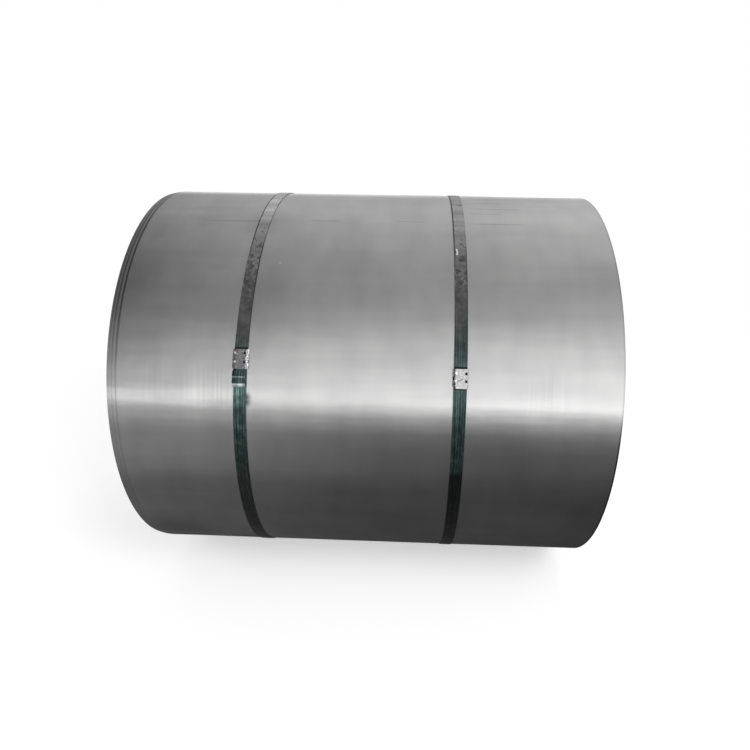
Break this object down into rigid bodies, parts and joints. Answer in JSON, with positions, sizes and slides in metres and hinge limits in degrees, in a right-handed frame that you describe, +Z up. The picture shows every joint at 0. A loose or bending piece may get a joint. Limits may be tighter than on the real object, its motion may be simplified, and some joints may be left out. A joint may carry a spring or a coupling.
{
  "type": "steel coil",
  "caption": "Wound steel strip coil lying on its side, with a plain bore, slipped outer turns and painted steel straps closed by crimped seals.",
  "frame": {"origin": "centre of the footprint on the floor, under the straps' lowest line", "axes": "+X along the bore axis towards the end where the outer turns overhang, -Y the sealed side, +Z up"},
  "size_m": [1.2441, 1.1135, 1.1137],
  "materials": {
    "strip": "satin",
    "strapping": "gloss",
    "seal": "galvanised"
  },
  "bodies": {
    "root": {"coil": "strip", "strap_left": "strapping", "strap_right": "strapping", "seal_left": "seal", "seal_right": "seal"}
  },
  "joints": []
}
